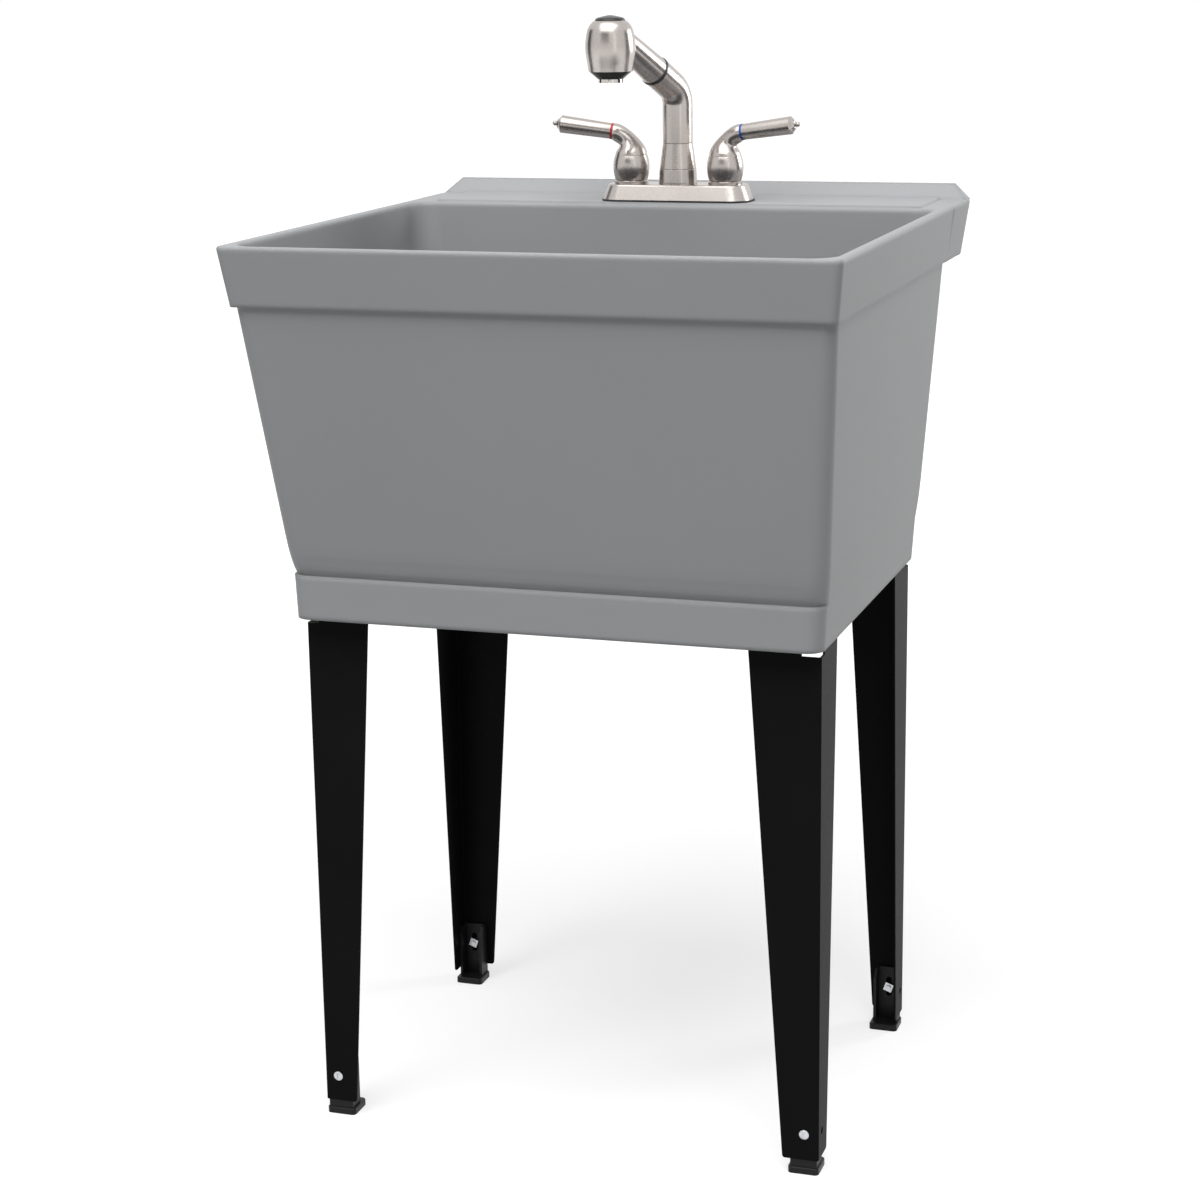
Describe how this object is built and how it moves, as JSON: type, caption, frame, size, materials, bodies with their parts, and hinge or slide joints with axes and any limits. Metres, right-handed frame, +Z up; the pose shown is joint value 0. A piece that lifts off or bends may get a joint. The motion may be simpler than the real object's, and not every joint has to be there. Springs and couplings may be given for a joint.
{
  "type": "utility laundry sink",
  "caption": "Free-standing laundry sink: deep moulded tub with a faucet deck, four tapered steel legs on levelling feet, and a two-handle faucet with a pull-out wand.",
  "frame": {"origin": "on the floor, under the middle of the tub", "axes": "+Z up, front towards -Y, +X to the right seen from the front"},
  "size_m": [0.581, 0.59, 1.0695],
  "materials": {
    "tub_plastic": "satin moulded grey",
    "leg_coating": "semi-matt dark powder coat on steel",
    "foot_plastic": "moulded black",
    "zinc": "bright zinc",
    "rubber": "soft black",
    "brass": "machined",
    "black_plastic": "moulded black",
    "chrome": "polished",
    "steel": "plain stainless",
    "red_plastic": "moulded red",
    "blue_plastic": "moulded blue",
    "white_plastic": "moulded white",
    "nickel": "brushed nickel, warm"
  },
  "bodies": {
    "sink": {"cold_base_ring": "nickel", "cold_valve_cartridge": "brass", "deck_gasket": "rubber", "deck_plate": "nickel", "drain_body": "steel", "drain_gasket": "rubber", "drain_locknut": "white_plastic", "drain_slip_nut": "white_plastic", "drain_tailpiece": "white_plastic", "faucet_body": "brass", "foot_nuts": "zinc", "foot_screws": "zinc", "hot_base_ring": "nickel", "hot_valve_cartridge": "brass", "leg_front_left": "leg_coating", "leg_front_right": "leg_coating", "leg_rear_left": "leg_coating", "leg_rear_right": "leg_coating", "shank_nuts": "black_plastic", "shank_washers": "black_plastic", "spout_collar": "nickel", "spout_cone": "nickel", "swivel_seal": "rubber", "tub": "tub_plastic"},
    "foot_front_left": {"foot_front_left": "foot_plastic"},
    "foot_front_right": {"foot_front_right": "foot_plastic"},
    "foot_rear_left": {"foot_rear_left": "foot_plastic"},
    "foot_rear_right": {"foot_rear_right": "foot_plastic"},
    "hot_handle": {"hot_valve_stem": "brass", "hot_handle_bell": "nickel", "hot_handle_arm": "nickel", "hot_index_ring": "red_plastic", "hot_handle_grip": "nickel", "hot_set_screw": "steel"},
    "cold_handle": {"cold_valve_stem": "brass", "cold_handle_bell": "nickel", "cold_handle_arm": "nickel", "cold_index_ring": "blue_plastic", "cold_handle_grip": "nickel", "cold_set_screw": "steel"},
    "spout": {"spout_neck": "nickel", "dock_bushing": "black_plastic"},
    "wand": {"wand_shell": "nickel", "hose_connector": "black_plastic", "spray_core": "black_plastic", "nozzle_ring": "black_plastic", "aerator": "chrome", "button_spring": "steel"},
    "button": {"spray_button": "black_plastic", "spray_diverter": "black_plastic"},
    "stopper": {"drain_stopper": "rubber"}
  },
  "joints": [
    {"name": "foot_front_left_height", "type": "slide", "parent": "sink", "child": "foot_front_left", "axis": [0, 0, 1], "range_m": [-0.0075, 0.0075]},
    {"name": "foot_front_right_height", "type": "slide", "parent": "sink", "child": "foot_front_right", "axis": [0, 0, 1], "range_m": [-0.0075, 0.0075]},
    {"name": "foot_rear_left_height", "type": "slide", "parent": "sink", "child": "foot_rear_left", "axis": [0, 0, 1], "range_m": [-0.0075, 0.0075]},
    {"name": "foot_rear_right_height", "type": "slide", "parent": "sink", "child": "foot_rear_right", "axis": [0, 0, 1], "range_m": [-0.0075, 0.0075]},
    {"name": "hot_handle_turn", "type": "hinge", "parent": "sink", "child": "hot_handle", "pos_m": [-0.0508, 0.203, 0.9], "axis": [0, 0, 1], "range_deg": [0, 90]},
    {"name": "cold_handle_turn", "type": "hinge", "parent": "sink", "child": "cold_handle", "pos_m": [0.0508, 0.203, 0.9], "axis": [0, 0, 1], "range_deg": [-90, 0]},
    {"name": "spout_swing", "type": "hinge", "parent": "sink", "child": "spout", "pos_m": [0, 0.203, 0.94], "axis": [0, 0, 1], "range_deg": [-66.5, 113.5]},
    {"name": "wand_pull_out", "type": "slide", "parent": "spout", "child": "wand", "axis": [-0.3382, -0.7777, 0.5299], "range_m": [0, 0.4]},
    {"name": "spray_button_press", "type": "slide", "parent": "wand", "child": "button", "axis": [0, 0, -1], "range_m": [0, 0.0025], "stiffness_N_per_m": 800, "springref_m": -0.003, "deforming": ["button_spring"]},
    {"name": "stopper_lift_out", "type": "slide", "parent": "sink", "child": "stopper", "axis": [0, 0, 1], "range_m": [0, 0.36]}
  ]
}
